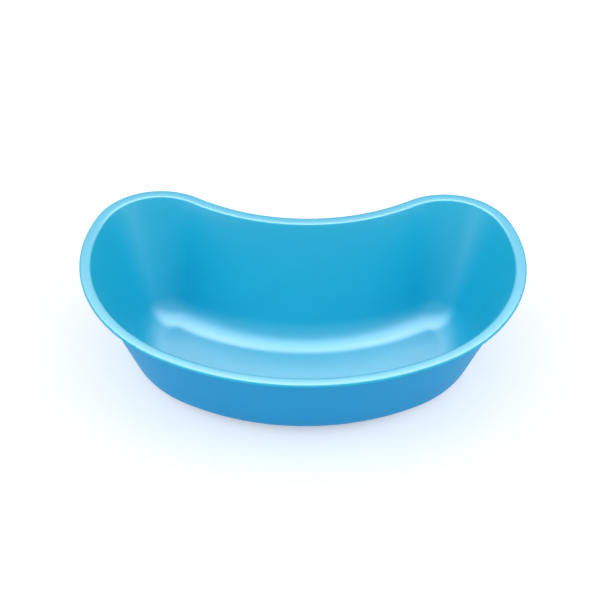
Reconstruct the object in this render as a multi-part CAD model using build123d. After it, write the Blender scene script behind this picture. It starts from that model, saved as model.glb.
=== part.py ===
from build123d import *
import math
import os

os.makedirs("parts", exist_ok=True)

# Kidney dish, one injection moulding in polypropylene.
# +Z up, the dish standing on its foot at z = 0, its long way along X.
# The bulging front faces -Y and the notched back faces +Y.
# The origin is under the middle of the rim's length and depth.

# Rim outline, seen from above
LENGTH = 250.0            # over the rim, end to end
DEPTH = 164.0             # over the rim, front to the back of the lobes
NOTCH_DEPTH = 23.5        # how far the back bends in between the lobes
LOBE_RADIUS = 39.0        # rim round each back lobe
LOBE_SETBACK = 4.5        # the lobe circle stands this far inside the end of the dish
FRONT_HALF_ANGLE = 30.5   # turn of the front arc, each side of the middle

# Bowl
HEIGHT = 66.0             # foot to the top of the rim
WALL = 2.0                # sides and floor
FLARE = 28.5              # how far the wall leans out from foot to rim
FOOT_ROUND = 20.0         # outside round from the wall into the foot
FOOT_LOBE_RADIUS = 3.0    # lobes of the flat of the foot

# Rim
LIP_OVERHANG = 4.0        # lip beyond the outside of the wall
LIP_THICKNESS = 2.4
LIP_EDGE_ROUND = 1.1      # top and bottom of the lip's free edge
LIP_ROOT_ROUND = 1.2      # underside of the lip into the wall
MOUTH_ROUND = 1.5         # top of the lip into the bowl

# Underside
RING_WIDTH = 5.0          # standing ring round the recessed panel
RECESS_DEPTH = 0.5
RECESS_LOBE_RADIUS = 4.0  # lobes of the recessed panel
GATE_DIAMETER = 7.0       # dimple where the moulding was fed
GATE_DEPTH = 0.4

WALL_LEAN = math.atan2(FLARE, HEIGHT)
WALL_ACROSS = WALL / math.cos(WALL_LEAN)   # wall measured level
FOOT_INSET = LIP_OVERHANG + FLARE          # wall line at the foot, in from the rim
ROUND_REACH = FOOT_ROUND * math.tan((math.pi / 2 - WALL_LEAN) / 2)   # wall line to the flat


def rim_headings():
    """Headings of the rim where its front, side, lobe and notch arcs join."""
    half = LENGTH / 2
    turn = math.radians(FRONT_HALF_ANGLE)
    slope = math.tan(turn / 2)
    lobe_x = half - LOBE_SETBACK - LOBE_RADIUS
    lobe_y = DEPTH - LOBE_RADIUS
    # The side arc touches the front arc, the end of the dish and the lobe arc.
    lead = 1 - slope
    drop = half * slope - lobe_y
    span = LOBE_SETBACK - lead * drop
    reach = (LOBE_SETBACK + LOBE_RADIUS) ** 2 - LOBE_RADIUS**2 + drop**2
    side = (span - math.sqrt(span**2 - lead**2 * reach)) / lead**2
    side_x = half - side
    side_y = half * slope + side * lead
    lobe_start = math.atan2(lobe_y - side_y, lobe_x - side_x) + math.pi / 2
    # The notch arc touches both lobes and comes NOTCH_DEPTH in from their backs.
    level = lobe_y - NOTCH_DEPTH
    notch_y = (lobe_y**2 + lobe_x**2 - level**2) / (2 * NOTCH_DEPTH)
    lobe_end = math.atan2(notch_y - lobe_y, -lobe_x) + math.pi / 2
    return turn, lobe_start, lobe_end


HEADINGS = rim_headings()


def arc_radii(inset, lobe):
    """Front and side radii that keep front, ends and notch inset from the rim alike."""
    turn, start, end = HEADINGS
    half = LENGTH / 2 - inset
    waist = DEPTH - NOTCH_DEPTH - 2 * inset
    ahead = math.tan(turn / 2)
    astern = (1 + math.cos(end)) / math.sin(end)
    by_lobe = math.cos(start) - math.cos(end) + astern * (math.sin(end) - math.sin(start))
    by_side = math.cos(turn) - math.cos(start)
    by_side -= ahead * (1 - math.sin(turn)) + astern * (1 - math.sin(start))
    side = (waist - half * (ahead + astern) - lobe * by_lobe) / by_side
    front = (half - side * (1 - math.sin(turn))) / math.sin(turn)
    return front, side


def across(point):
    """The same point on the other side of the dish."""
    return (-point[0], point[1])


def outline(inset, lobe, z):
    """Kidney face at height z, inset from the rim line, with its own lobe radius."""
    x = 0.0
    y = inset - DEPTH / 2
    front_mid = (x, y)
    heading = 0.0
    ends = []
    mids = []
    for radius, turn_to in zip((*arc_radii(inset, lobe), lobe), HEADINGS):
        centre_x = x - radius * math.sin(heading)
        centre_y = y + radius * math.cos(heading)
        half_way = (heading + turn_to) / 2
        mids.append((centre_x + radius * math.sin(half_way), centre_y - radius * math.cos(half_way)))
        x = centre_x + radius * math.sin(turn_to)
        y = centre_y - radius * math.cos(turn_to)
        ends.append((x, y))
        heading = turn_to
    notch = -x / math.sin(heading)
    notch_mid = (0.0, y - notch * (1 + math.cos(heading)))
    front_end, side_end, lobe_end = ends
    arcs = [
        ThreePointArc(across(front_end), front_mid, front_end),
        ThreePointArc(front_end, mids[1], side_end),
        ThreePointArc(side_end, mids[2], lobe_end),
        ThreePointArc(lobe_end, notch_mid, across(lobe_end)),
        ThreePointArc(across(lobe_end), across(mids[2]), across(side_end)),
        ThreePointArc(across(side_end), across(mids[1]), across(front_end)),
    ]
    return Pos(0, 0, z) * make_face(arcs)


def tub(skin, floor):
    """Flared solid with a rounded foot, inside the outer wall line by skin."""
    rise = floor / HEIGHT
    mouth_lobe = LOBE_RADIUS - LIP_OVERHANG
    line_lobe = FOOT_LOBE_RADIUS + ROUND_REACH
    foot_lobe = line_lobe + (mouth_lobe - line_lobe) * rise
    foot = outline(FOOT_INSET - FLARE * rise + skin, foot_lobe - skin, floor)
    mouth = outline(LIP_OVERHANG + skin, mouth_lobe - skin, HEIGHT)
    solid = loft([foot, mouth], ruled=True)
    return fillet(solid.faces().sort_by(Axis.Z)[0].edges(), FOOT_ROUND - floor)


def lip():
    """Flange the full size of the rim, with a rounded free edge."""
    plate = extrude(outline(0, LOBE_RADIUS, HEIGHT - LIP_THICKNESS), LIP_THICKNESS)
    levels = plate.faces().sort_by(Axis.Z)
    return fillet(levels[0].edges() + levels[-1].edges(), LIP_EDGE_ROUND)


def recess():
    """Shallow panel inside the standing ring, with the feed dimple in its middle."""
    face = outline(FOOT_INSET + ROUND_REACH + RING_WIDTH, RECESS_LOBE_RADIUS, 0)
    middle = face.center()
    dimple = extrude(Pos(middle.X, middle.Y, 0) * Circle(GATE_DIAMETER / 2), RECESS_DEPTH + GATE_DEPTH)
    return extrude(face, RECESS_DEPTH) + dimple


def kidney_dish():
    """The whole moulding."""
    solid = tub(0, 0) + lip() - tub(WALL_ACROSS, WALL)
    top = solid.faces().sort_by(Axis.Z)[-1]
    solid = fillet(top.inner_wires()[0].edges(), MOUTH_ROUND)
    lip_level = HEIGHT - LIP_THICKNESS
    level_faces = solid.faces().filter_by(Axis.Z)
    underside = level_faces.filter_by_position(Axis.Z, lip_level - 0.01, lip_level + 0.01)[0]
    solid = fillet(underside.inner_wires()[0].edges(), LIP_ROOT_ROUND)
    return solid - recess()


export_step(kidney_dish(), "parts/kidney_dish.step")
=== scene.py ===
import math

import bmesh
import bpy
from bpy.props import FloatProperty, PointerProperty, StringProperty
from mathutils import Matrix, Vector


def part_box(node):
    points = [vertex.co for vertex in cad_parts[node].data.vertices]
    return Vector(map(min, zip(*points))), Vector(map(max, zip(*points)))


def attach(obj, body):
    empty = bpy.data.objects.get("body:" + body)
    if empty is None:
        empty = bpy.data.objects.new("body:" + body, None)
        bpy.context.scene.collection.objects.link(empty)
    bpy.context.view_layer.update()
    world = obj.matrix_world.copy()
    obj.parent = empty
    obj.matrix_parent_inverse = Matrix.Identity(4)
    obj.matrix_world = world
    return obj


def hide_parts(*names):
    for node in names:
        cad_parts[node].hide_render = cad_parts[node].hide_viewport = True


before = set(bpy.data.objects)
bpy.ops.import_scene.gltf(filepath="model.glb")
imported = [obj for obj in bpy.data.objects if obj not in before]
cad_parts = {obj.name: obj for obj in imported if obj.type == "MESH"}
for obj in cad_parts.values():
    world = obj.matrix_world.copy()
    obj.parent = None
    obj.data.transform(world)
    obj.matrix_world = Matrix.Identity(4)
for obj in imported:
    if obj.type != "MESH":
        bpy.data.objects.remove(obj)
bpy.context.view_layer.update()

bl_info = {
    "name": "Kidney dish",
    "version": (1, 0, 0),
    "blender": (4, 5, 0),
    "location": "View3D > Sidebar > Kidney dish",
    "description": "A moulded ward dish and the studio it is shown in",
    "category": "Add Mesh",
}

MM = 0.001
NODE = "kidney_dish"
LOW, HIGH = (Vector(corner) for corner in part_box(NODE))
LENGTH, DEPTH, HEIGHT = (round(side, 3) for side in HIGH - LOW)


def size(name, about, value):
    """A length property, given in millimetres."""
    return FloatProperty(
        name=name, description=about, default=value * MM, unit="LENGTH", precision=4,
    )


def angle(name, about, degrees):
    """An angle property, given in degrees."""
    return FloatProperty(
        name=name, description=about, default=math.radians(degrees), subtype="ANGLE",
    )


def power(name, about, watts):
    """A light's power."""
    return FloatProperty(name=name, description=about, default=watts, unit="POWER")


def colour(name, about, code):
    """A colour property, given as sRGB hex."""
    return StringProperty(name=name, description=about + ", sRGB hex", default=code)


class DishSizes(bpy.types.PropertyGroup):
    notch_depth: size("Notch depth", "How far the back bends in between the lobes", 23.5)
    lobe_radius: size("Lobe radius", "Rim round each back lobe", 39.0)
    lobe_setback: size("Lobe setback", "Lobe circle to the end of the dish", 4.5)
    front_half_angle: angle("Front half angle", "Turn of the front arc, from its middle", 30.5)
    wall: size("Wall", "Thickness of the sides and the floor", 2.0)
    flare: size("Flare", "How far the wall leans out from foot to rim", 28.5)
    foot_round: size("Foot round", "Outside round from the wall into the foot", 20.0)
    foot_lobe_radius: size("Foot lobe radius", "Lobes of the flat of the foot", 3.0)
    lip_overhang: size("Lip overhang", "Lip beyond the outside of the wall", 4.0)
    lip_thickness: size("Lip thickness", "Top to underside of the lip", 2.4)
    lip_edge_round: size("Lip edge round", "Free edge of the lip", 1.1)
    lip_root_round: size("Lip root round", "Underside of the lip into the wall", 1.2)
    mouth_round: size("Mouth round", "Top of the lip into the bowl", 1.5)
    ring_width: size("Ring width", "Standing ring round the recessed panel", 5.0)
    recess_depth: size("Recess depth", "Panel above the standing ring", 0.5)
    recess_lobe_radius: size("Recess lobe radius", "Lobes of the recessed panel", 4.0)
    feed_diameter: size("Feed diameter", "Dimple where the moulding was fed", 7.0)
    feed_depth: size("Feed depth", "Dimple above the panel", 0.4)


class DishColours(bpy.types.PropertyGroup):
    bowl: colour("Bowl", "Blue of the polished inside", "#00B1D5")
    bowl_swirl: colour("Bowl swirl", "Deeper pigment inside", "#00AACF")
    # The outside blues are darker than the bowl's: painted shade for the faces turned down, where
    # less light falls on the same plastic.
    outside: colour("Outside", "Blue of the satin outside", "#009FDB")
    outside_swirl: colour("Outside swirl", "Deeper pigment outside", "#0099D5")
    rubbed: colour("Rubbed", "Plastic dulled by rubbing", "#2FB4DC")


class StageSettings(bpy.types.PropertyGroup):
    floor_tone: FloatProperty(
        name="Floor tone", description="Grey level of the floor", default=0.8, min=0.0, max=1.0,
    )
    floor_lift: FloatProperty(
        name="Floor lift", description="Added to the floor where it is seen", default=0.36,
    )
    room_light: FloatProperty(
        name="Room light", description="Strength of the light all round", default=0.68,
    )
    back_gloss: power("Back gloss", "Box behind, mirrored in the floor and the rim", 80.0)
    top_gloss: power("Top gloss", "Box overhead, mirrored in the bowl's round", 38.0)
    side_gloss: power("Side gloss", "Each low box, mirrored in a lobe", 3.0)
    side_light: power("Side light", "Fill on each side", 6.5)
    front_light: power("Front light", "Wide fill in front", 6.5)
    camera_height: angle("Camera height", "Angle of the camera above the floor", 42.0)
    camera_roll: angle("Camera roll", "Lean of the camera", 0.7)
    camera_distance: FloatProperty(
        name="Camera distance", description="Camera to the dish", default=1.5, unit="LENGTH",
    )
    camera_lens: FloatProperty(
        name="Lens", description="Focal length in millimetres", default=159.76,
    )


def linear(code):
    """sRGB hex colour as linear red, green, blue and alpha."""
    parts = [int(code[i:i + 2], 16) / 255 for i in (1, 3, 5)]
    return [c / 12.92 if c <= 0.04045 else ((c + 0.055) / 1.055) ** 2.4 for c in parts] + [1.0]


def add_node(tree, kind, settings=None, links=None):
    """Adds a node, sets its values and links its inputs."""
    node = tree.nodes.new(kind)
    for key, value in (settings or {}).items():
        if isinstance(key, str) and hasattr(node, key):
            setattr(node, key, value)
        else:
            node.inputs[key].default_value = value
    for key, source in (links or {}).items():
        tree.links.new(source, node.inputs[key])
    return node


def new_material(name):
    """A material and its node tree, emptied."""
    material = bpy.data.materials.new(name)
    material.use_nodes = True
    material.node_tree.nodes.clear()
    return material, material.node_tree


# The plastic

IOR = 1.49
SWIRL_WIDTH = 45 * MM         # across a swirl of pigment
PEEL_WAVE = 2.0 * MM          # from crest to crest of the orange peel
PEEL_HEIGHT = 0.02 * MM
# Wiping leaves hairlines a few tenths of a millimetre apart; they are drawn coarser, to show.
HAIRLINE_GAP = 1.5 * MM
HAIRLINE_STRETCH = 14.0       # length of a hairline, in gaps
HAIRLINE_TURN = 0.5           # in radians
HAIRLINE_DULLING = 0.03       # most that is added to the roughness
# Rubbing fades out between two heights above the table.
RUBBED_LOW, RUBBED_HIGH = 0.05 * MM, 0.3 * MM
RUBBED_SHARE = 0.7            # of the rubbed colour, at most
RUBBED_DULLING = 0.3


def moulded_polypropylene(name, body, swirled_body, rubbed_body, roughness, peel_strength, shine):
    """Injection-moulded polypropylene, coloured right through.

    It gives an even saturated blue with a soft gloss: broad highlights with no sharp edge,
    a faint orange peel where the melt met the steel, and duller plastic where the dish is rubbed.
    """
    material, tree = new_material(name)
    spot = add_node(tree, "ShaderNodeTexCoord").outputs["Object"]
    swirl = add_node(
        tree, "ShaderNodeTexNoise", {"Scale": 1 / SWIRL_WIDTH, "Detail": 3.0, "Distortion": 0.6},
        {"Vector": spot},
    )
    swirled = add_node(
        tree, "ShaderNodeMapRange",
        {"From Min": 0.35, "From Max": 0.7, "To Min": 0.0, "To Max": 0.55},
        {"Value": swirl.outputs["Fac"]},
    )
    blue = add_node(
        tree, "ShaderNodeMix", {"data_type": "RGBA", 6: linear(body), 7: linear(swirled_body)},
        {0: swirled.outputs[0]},
    )
    # Only the standing ring comes low enough to be rubbed by the table.
    axes = add_node(tree, "ShaderNodeSeparateXYZ", links={0: spot})
    rubbed = add_node(
        tree, "ShaderNodeMapRange",
        {"From Min": RUBBED_LOW, "From Max": RUBBED_HIGH, "To Min": RUBBED_SHARE, "To Max": 0.0},
        {"Value": axes.outputs["Z"]},
    )
    paint = add_node(
        tree, "ShaderNodeMix", {"data_type": "RGBA", 7: linear(rubbed_body)},
        {0: rubbed.outputs[0], 6: blue.outputs[2]},
    )
    turned = add_node(
        tree, "ShaderNodeMapping",
        {
            "Rotation": (0.0, 0.0, HAIRLINE_TURN),
            "Scale": (1.0, HAIRLINE_STRETCH, HAIRLINE_STRETCH),
        },
        {"Vector": spot},
    )
    hairline = add_node(
        tree, "ShaderNodeTexNoise",
        {"Scale": 1 / (HAIRLINE_STRETCH * HAIRLINE_GAP), "Detail": 2.0},
        {"Vector": turned.outputs[0]},
    )
    gloss = add_node(
        tree, "ShaderNodeMapRange",
        {
            "From Min": 0.3, "From Max": 0.75,
            "To Min": roughness, "To Max": roughness + HAIRLINE_DULLING,
        },
        {"Value": hairline.outputs["Fac"]},
    )
    dulled = add_node(
        tree, "ShaderNodeMath", {"operation": "MULTIPLY_ADD", 1: RUBBED_DULLING},
        {0: rubbed.outputs[0], 2: gloss.outputs[0]},
    )
    peel = add_node(
        tree, "ShaderNodeTexNoise", {"Scale": 1 / PEEL_WAVE, "Detail": 1.0}, {"Vector": spot},
    )
    bump = add_node(
        tree, "ShaderNodeBump", {"Strength": peel_strength, "Distance": PEEL_HEIGHT},
        {"Height": peel.outputs["Fac"]},
    )
    shader = add_node(
        tree, "ShaderNodeBsdfPrincipled", {"IOR": IOR, "Specular IOR Level": shine},
        {"Base Color": paint.outputs[2], "Roughness": dulled.outputs[0], "Normal": bump.outputs[0]},
    )
    add_node(tree, "ShaderNodeOutputMaterial", links={"Surface": shader.outputs[0]})
    return material


# The kidney outline

class Outline:
    """Joined arcs of half a kidney, from the middle of the front to the middle of the notch."""

    def __init__(self, sizes):
        half = LENGTH / 2
        turn = sizes.front_half_angle
        slope = math.tan(turn / 2)
        lobe_x = half - sizes.lobe_setback - sizes.lobe_radius
        lobe_y = DEPTH - sizes.lobe_radius
        # The side arc touches the front arc, the end of the dish and the lobe arc.
        lead = 1 - slope
        drop = half * slope - lobe_y
        span = sizes.lobe_setback - lead * drop
        reach = (sizes.lobe_setback + sizes.lobe_radius) ** 2 - sizes.lobe_radius**2 + drop**2
        side = (span - math.sqrt(span**2 - lead**2 * reach)) / lead**2
        side_y = half * slope + side * lead
        start = math.atan2(lobe_y - side_y, lobe_x - half + side) + math.pi / 2
        # The notch arc touches both lobes.
        level = lobe_y - sizes.notch_depth
        notch_y = (lobe_y**2 + lobe_x**2 - level**2) / (2 * sizes.notch_depth)
        end = math.atan2(notch_y - lobe_y, -lobe_x) + math.pi / 2
        self.headings = (turn, start, end)
        self.waist = DEPTH - sizes.notch_depth

    def arcs(self, inset, lobe):
        """Centre and turn of each arc, for a line inset from the rim with its own lobe radius."""
        turn, start, end = self.headings
        half = LENGTH / 2 - inset
        ahead = math.tan(turn / 2)
        astern = (1 + math.cos(end)) / math.sin(end)
        by_lobe = math.cos(start) - math.cos(end) + astern * (math.sin(end) - math.sin(start))
        by_side = math.cos(turn) - math.cos(start)
        by_side -= ahead * (1 - math.sin(turn)) + astern * (1 - math.sin(start))
        side = (self.waist - 2 * inset - half * (ahead + astern) - lobe * by_lobe) / by_side
        front = (half - side * (1 - math.sin(turn))) / math.sin(turn)
        point = Vector((0, inset - DEPTH / 2, 0))
        heading = 0.0
        found = []
        for radius, turn_to in zip((front, side, lobe), self.headings):
            outward = Vector((math.sin(heading), -math.cos(heading), 0))
            centre = point - outward * radius
            found.append((centre, turn_to - heading))
            point = centre + Vector((math.sin(turn_to), -math.cos(turn_to), 0)) * radius
            heading = turn_to
        notch = -point.x / math.sin(heading)
        centre = point + Vector((math.sin(heading), -math.cos(heading), 0)) * notch
        found.append((centre, math.pi - heading))
        return found


STEPS = (26, 42, 36, 22)      # pieces of the front, side, lobe and notch arcs, in each half
TINY = 1e-6                   # what counts as the same place, in metres
HELD_APART = 100 * MM         # between two lines while they are bridged
FLOOR_BORDER = 1.0 * MM       # of small faces round the bowl's floor
WALL_CUTS = 9
RECESS_ROUND = 0.15 * MM
FEED_STEPS = 48
STUB_RADIUS = 0.9 * MM        # what is left of the feed
STUB_TAPER = 0.15 * MM
STUB_HEIGHT = 0.2 * MM
MARK_WITHIN = 0.01 * MM       # of the dimple's height, for a corner of the plain solid
FACING_DOWN = -0.01           # upward part of a normal, below which a face is outside


def ring(shape, outline, inset, lobe, z):
    """Spins half a kidney line, mirrors it, and returns the closed line's edges."""
    known = set(shape.edges)
    vert = shape.verts.new((0, inset - DEPTH / 2, z))
    for (centre, turn), steps in zip(outline.arcs(inset, lobe), STEPS):
        spun = bmesh.ops.spin(
            shape, geom=[vert], cent=(centre.x, centre.y, z), axis=(0, 0, 1), dvec=(0, 0, 0),
            angle=turn, steps=steps, use_duplicate=False,
        )
        vert = next(g for g in spun["geom_last"] if isinstance(g, bmesh.types.BMVert))
    half = [edge for edge in shape.edges if edge not in known]
    verts = list({vert for edge in half for vert in edge.verts})
    bmesh.ops.mirror(shape, geom=verts + half, matrix=Matrix.Identity(4), merge_dist=TINY, axis="X")
    return [edge for edge in shape.edges if edge not in known]


def bridge(shape, one, other):
    """Bridges two closed lines.

    They are held apart meanwhile, so that level ones are matched the right way round.
    """
    verts = list({vert for edge in one for vert in edge.verts})
    bmesh.ops.translate(shape, verts=verts, vec=(0, 0, -HELD_APART))
    bmesh.ops.bridge_loops(
        shape, edges=one + other, use_pairs=False, use_cyclic=False, use_merge=False,
        merge_factor=0.5, twist_offset=0,
    )
    bmesh.ops.translate(shape, verts=verts, vec=(0, 0, HELD_APART))


def round_off(shape, edges, offset, segments):
    """Rounds the edges, which start and end the round at the offset on either side."""
    bmesh.ops.bevel(
        shape, geom=edges, offset=offset, offset_type="OFFSET", segments=segments, profile=0.5,
        affect="EDGES", material=-1, clamp_overlap=False, loop_slide=True,
    )


def raise_edges(shape, edges, rise):
    """Extrudes the edges straight up and returns the new ones."""
    made = bmesh.ops.extrude_edge_only(shape, edges=edges)["geom"]
    verts = [g for g in made if isinstance(g, bmesh.types.BMVert)]
    bmesh.ops.translate(shape, verts=verts, vec=(0, 0, rise))
    return [g for g in made if isinstance(g, bmesh.types.BMEdge) and g.is_boundary]


def biggest_face(shape, z):
    """The largest face lying level at a height."""
    level = [
        face for face in shape.faces if all(abs(vert.co.z - z) < TINY for vert in face.verts)
    ]
    return max(level, key=lambda face: face.calc_area())


def dish_shell(sizes):
    """The moulding: walls and lip first, then the rounds, then what is under the foot."""
    outline = Outline(sizes)
    lean = math.atan2(sizes.flare, HEIGHT)
    across = sizes.wall / math.cos(lean)
    foot = sizes.lip_overhang + sizes.flare
    bend = math.tan((math.pi / 2 - lean) / 2)
    reach = sizes.foot_round * bend
    foot_lobe = sizes.foot_lobe_radius + reach
    mouth_lobe = sizes.lobe_radius - sizes.lip_overhang

    def wall(z, skin):
        """Inset and lobe radius of the wall at a height, on its outside or a skin inside it."""
        part = z / HEIGHT
        return foot - sizes.flare * part + skin, foot_lobe + (mouth_lobe - foot_lobe) * part - skin

    shape = bmesh.new()
    under = HEIGHT - sizes.lip_thickness
    foot_line = ring(shape, outline, *wall(0, 0), 0)
    root_line = ring(shape, outline, *wall(under, 0), under)
    edge_line = ring(shape, outline, 0, sizes.lobe_radius, under)
    top_line = ring(shape, outline, 0, sizes.lobe_radius, HEIGHT)
    mouth_line = ring(shape, outline, *wall(HEIGHT, across), HEIGHT)
    floor_line = ring(shape, outline, *wall(sizes.wall, across), sizes.wall)
    lines = (foot_line, root_line, edge_line, top_line, mouth_line, floor_line)
    for one, other in zip(lines, lines[1:]):
        bridge(shape, one, other)
    bmesh.ops.edgeloop_fill(shape, edges=foot_line)
    bmesh.ops.edgeloop_fill(shape, edges=floor_line)
    bmesh.ops.recalc_face_normals(shape, faces=shape.faces)
    for line, offset, segments in (
        (foot_line, reach, 16),
        (floor_line, (sizes.foot_round - sizes.wall) * bend, 16),
        (root_line, sizes.lip_root_round * bend, 4),
        (edge_line, sizes.lip_edge_round, 5),
        (top_line, sizes.lip_edge_round, 5),
        (mouth_line, sizes.mouth_round * bend, 6),
    ):
        round_off(shape, line, offset, segments)
    tall = [
        edge for edge in shape.edges
        if abs(edge.verts[0].co.z - edge.verts[1].co.z) > HEIGHT / 2
    ]
    bmesh.ops.subdivide_edges(shape, edges=tall, cuts=WALL_CUTS, use_grid_fill=True)

    floor = biggest_face(shape, sizes.wall)
    bmesh.ops.inset_region(shape, faces=[floor], thickness=FLOOR_BORDER, use_even_offset=True)
    bmesh.ops.triangulate(shape, faces=[floor], quad_method="BEAUTY", ngon_method="BEAUTY")

    crisp = underside(shape, sizes, outline, foot + reach + sizes.ring_width)
    bmesh.ops.recalc_face_normals(shape, faces=shape.faces)
    for face in shape.faces:
        face.smooth = True
        # Faces turned down take the second material, whose darker blue is painted shade.
        face.material_index = 1 if face.normal.z < FACING_DOWN else 0
    for edge in crisp:
        edge.smooth = False
    return shape


def underside(shape, sizes, outline, inset):
    """The ring it stands on, round a panel moulded slightly higher; returns the crisp edges."""
    stand = biggest_face(shape, 0.0)
    stand_line = list(stand.edges)
    bmesh.ops.delete(shape, geom=[stand], context="FACES_ONLY")
    recess_line = ring(shape, outline, inset, sizes.recess_lobe_radius, 0)
    bridge(shape, stand_line, recess_line)
    panel_line = raise_edges(shape, recess_line, sizes.recess_depth)
    crisp = panel_line + feed_dimple(shape, sizes)
    bmesh.ops.triangle_fill(shape, use_beauty=True, use_dissolve=False, edges=crisp)
    round_off(shape, recess_line, RECESS_ROUND, 2)
    return crisp


def feed_dimple(shape, sizes):
    """The dimple where the moulding was fed, with the feed's stub left in it; returns its rim."""
    top = sizes.recess_depth + sizes.feed_depth
    marks = [
        vert.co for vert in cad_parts[NODE].data.vertices
        if abs(vert.co.z - top) < MARK_WITHIN
    ]
    middle = sum(marks, Vector()) / len(marks)
    middle.z = sizes.recess_depth
    radius = sizes.feed_diameter / 2
    made = bmesh.ops.create_circle(
        shape, cap_ends=False, segments=FEED_STEPS, radius=radius,
        matrix=Matrix.Translation(middle),
    )
    rim = list({edge for vert in made["verts"] for edge in vert.link_edges})
    roof_line = raise_edges(shape, rim, sizes.feed_depth)
    roof = bmesh.ops.edgeloop_fill(shape, edges=roof_line)["faces"]
    bmesh.ops.inset_region(shape, faces=roof, thickness=radius - STUB_RADIUS)
    bmesh.ops.inset_region(shape, faces=roof, thickness=STUB_TAPER, depth=STUB_HEIGHT)
    for edge in roof_line:
        edge.smooth = False
    return rim


def finish_piece(name, shape, materials):
    """Makes the piece from its shape and on its body, in place of the plain solid."""
    mesh = bpy.data.meshes.new(name)
    shape.to_mesh(mesh)
    shape.free()
    for material in materials:
        mesh.materials.append(material)
    piece = bpy.data.objects.new(name, mesh)
    bpy.context.collection.objects.link(piece)
    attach(piece, "root")
    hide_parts(NODE)


# The studio

FLOOR_REACH = 2.0             # from its middle to each side, in metres
CAMERA_TARGET = (0, 0, 25 * MM)
AIM_LEFT, AIM_UP = 1.2, 22.53  # from the target to where the lens points, in millimetres
SENSOR_WIDTH = 36.0           # in millimetres


def soft_box(name, place, aim_height, sides, watts, only):
    """A rectangular light that only lights the plastic ("fill") or is only mirrored ("gloss")."""
    data = bpy.data.lights.new(name, "AREA")
    data.shape = "RECTANGLE"
    data.size, data.size_y = sides
    data.energy = watts
    light = bpy.data.objects.new(name, data)
    bpy.context.collection.objects.link(light)
    aim = Vector((0, 0, aim_height))
    light.location = place
    light.rotation_euler = (aim - Vector(place)).to_track_quat("-Z", "Y").to_euler()
    light.visible_diffuse = only != "gloss"
    light.visible_glossy = only != "fill"


def background_rays(tree):
    """One for the rays that show the white studio: straight, in a gloss or through clear things."""
    path = add_node(tree, "ShaderNodeLightPath")
    mirrored = add_node(
        tree, "ShaderNodeMath", {"operation": "MAXIMUM"},
        {0: path.outputs["Is Glossy Ray"], 1: path.outputs["Is Transmission Ray"]},
    )
    return add_node(
        tree, "ShaderNodeMath", {"operation": "MAXIMUM"},
        {0: path.outputs["Is Camera Ray"], 1: mirrored.outputs[0]},
    )


def pale_floor(settings):
    """Matt painted board: plain, pale and without gloss, so it shows only the soft shadow."""
    shape = bmesh.new()
    bmesh.ops.create_grid(shape, x_segments=1, y_segments=1, size=FLOOR_REACH)
    mesh = bpy.data.meshes.new("floor")
    shape.to_mesh(mesh)
    shape.free()
    floor = bpy.data.objects.new("floor", mesh)
    bpy.context.collection.objects.link(floor)
    material, tree = new_material("matt_painted_board")
    tone = settings.floor_tone
    board = add_node(tree, "ShaderNodeBsdfDiffuse", {"Color": (tone, tone, tone, 1)})
    # Where it is seen, the board is lifted to the white of the studio, and its shadow with it.
    lift = add_node(
        tree, "ShaderNodeMath", {"operation": "MULTIPLY", 1: settings.floor_lift},
        {0: background_rays(tree).outputs[0]},
    )
    glow = add_node(
        tree, "ShaderNodeEmission", {"Color": (1, 1, 1, 1)}, {"Strength": lift.outputs[0]},
    )
    both = add_node(tree, "ShaderNodeAddShader", links={0: board.outputs[0], 1: glow.outputs[0]})
    add_node(tree, "ShaderNodeOutputMaterial", links={"Surface": both.outputs[0]})
    mesh.materials.append(material)


def studio_world(settings):
    """An even room, which shows as plain white."""
    world = bpy.data.worlds.new("studio")
    bpy.context.scene.world = world
    world.use_nodes = True
    tree = world.node_tree
    tree.nodes.clear()
    seen = background_rays(tree)
    fill, white = (
        add_node(tree, "ShaderNodeBackground", {"Color": (1, 1, 1, 1), "Strength": strength})
        for strength in (settings.room_light, 1.0)
    )
    mix = add_node(
        tree, "ShaderNodeMixShader",
        links={0: seen.outputs[0], 1: fill.outputs[0], 2: white.outputs[0]},
    )
    add_node(tree, "ShaderNodeOutputWorld", links={"Surface": mix.outputs[0]})


def studio_camera(settings):
    """A long lens above the front of the dish."""
    rise, roll = settings.camera_height, settings.camera_roll
    back = Vector((0, -math.cos(rise), math.sin(rise)))
    up = back.cross(Vector((1, 0, 0)))
    across = Vector((1, 0, 0)) * math.cos(roll) + up * math.sin(roll)
    upright = up * math.cos(roll) - Vector((1, 0, 0)) * math.sin(roll)
    target = Vector(CAMERA_TARGET)
    place = target + back * settings.camera_distance
    aim = target - across * AIM_LEFT * MM + upright * AIM_UP * MM
    depth = (place - aim).normalized()
    across = upright.cross(depth).normalized()
    upright = depth.cross(across)
    data = bpy.data.cameras.new("camera")
    data.lens = settings.camera_lens
    data.sensor_width = SENSOR_WIDTH
    camera = bpy.data.objects.new("camera", data)
    bpy.context.collection.objects.link(camera)
    turn = Matrix((across, upright, depth)).transposed().to_4x4()
    camera.matrix_world = Matrix.Translation(place) @ turn
    bpy.context.scene.camera = camera


# The add-on

class KIDNEY_OT_dish(bpy.types.Operator):
    """Mould the kidney dish"""

    bl_idname = "kidney.dish"
    bl_label = "Kidney dish"

    def execute(self, context):
        scene = context.scene
        colours = scene.kidney_colours
        # The half of the mould inside the bowl is polished, and the half outside it is left satin.
        # The satin is given less shine than such plastic has, so that its blue stays deep.
        # The outside is also given a darker blue than the bowl: painted shade on the same plastic,
        # for the faces turned down.
        polished = moulded_polypropylene(
            "polished_moulded_polypropylene", colours.bowl, colours.bowl_swirl, colours.rubbed,
            roughness=0.36, peel_strength=0.1, shine=0.5,
        )
        satin = moulded_polypropylene(
            "satin_shaded_moulded_polypropylene", colours.outside, colours.outside_swirl, colours.rubbed,
            roughness=0.45, peel_strength=0.2, shine=0.12,
        )
        finish_piece("moulded_dish", dish_shell(scene.kidney_sizes), (polished, satin))
        return {"FINISHED"}


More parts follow.
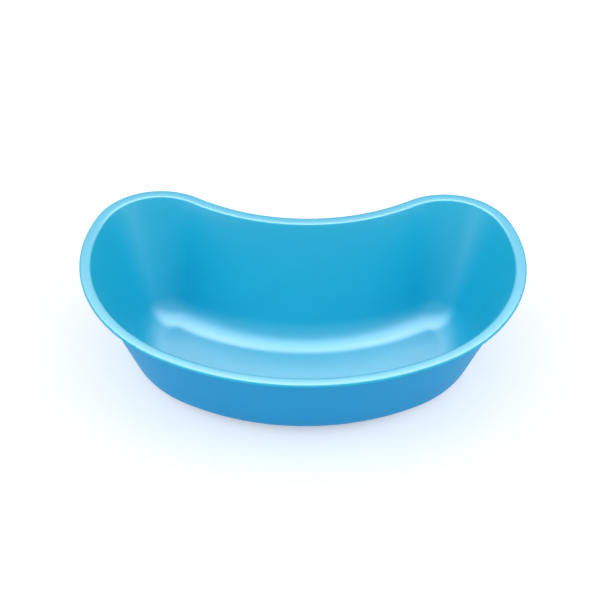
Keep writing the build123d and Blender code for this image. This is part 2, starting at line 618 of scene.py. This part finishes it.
class KIDNEY_OT_stage(bpy.types.Operator):
    """Set up the floor, the soft light and the camera"""

    bl_idname = "kidney.stage"
    bl_label = "Studio"

    def execute(self, context):
        settings = context.scene.kidney_stage
        pale_floor(settings)
        studio_world(settings)
        for name, place, aim_height, sides, watts, only in (
            ("back_gloss", (0, 0.57, 1.2), 0.03, (2.4, 0.75), settings.back_gloss, "gloss"),
            ("side_gloss", (-1.3, -0.9, 0.25), 0.05, (0.6, 0.6), settings.side_gloss, "gloss"),
            ("side_fill", (-1.3, -0.3, 1.0), 0.05, (1.0, 1.0), settings.side_light, "fill"),
            ("side_gloss", (1.3, -0.9, 0.25), 0.05, (0.6, 0.6), settings.side_gloss, "gloss"),
            ("side_fill", (1.3, -0.3, 1.0), 0.05, (1.0, 1.0), settings.side_light, "fill"),
            ("top_gloss", (0, -0.08, 1.35), 0.03, (3.2, 0.34), settings.top_gloss, "gloss"),
            ("front_fill", (0, -1.5, 1.3), 0.03, (2.4, 1.2), settings.front_light, "fill"),
        ):
            soft_box(name, place, aim_height, sides, watts, only)
        studio_camera(settings)
        context.scene.view_settings.view_transform = "Standard"
        return {"FINISHED"}


class KIDNEY_PT_panel(bpy.types.Panel):
    """Makes the dish and its studio"""

    bl_idname = "KIDNEY_PT_panel"
    bl_label = "Kidney dish"
    bl_space_type = "VIEW_3D"
    bl_region_type = "UI"
    bl_category = "Kidney dish"

    def draw(self, context):
        scene = context.scene
        for kind, group in (
            (KIDNEY_OT_dish, scene.kidney_sizes),
            (None, scene.kidney_colours),
            (KIDNEY_OT_stage, scene.kidney_stage),
        ):
            column = self.layout.column(align=True)
            for name in group.bl_rna.properties.keys():
                if name not in {"rna_type", "name"}:
                    column.prop(group, name)
            if kind:
                column.operator(kind.bl_idname)


CLASSES = (DishSizes, DishColours, StageSettings, KIDNEY_OT_dish, KIDNEY_OT_stage, KIDNEY_PT_panel)


def register():
    for kind in CLASSES:
        bpy.utils.register_class(kind)
    bpy.types.Scene.kidney_sizes = PointerProperty(type=DishSizes)
    bpy.types.Scene.kidney_colours = PointerProperty(type=DishColours)
    bpy.types.Scene.kidney_stage = PointerProperty(type=StageSettings)


def unregister():
    del bpy.types.Scene.kidney_stage
    del bpy.types.Scene.kidney_colours
    del bpy.types.Scene.kidney_sizes
    for kind in reversed(CLASSES):
        bpy.utils.unregister_class(kind)


def main():
    register()
    bpy.ops.kidney.dish()
    bpy.ops.kidney.stage()


if __name__ == "__main__":
    main()
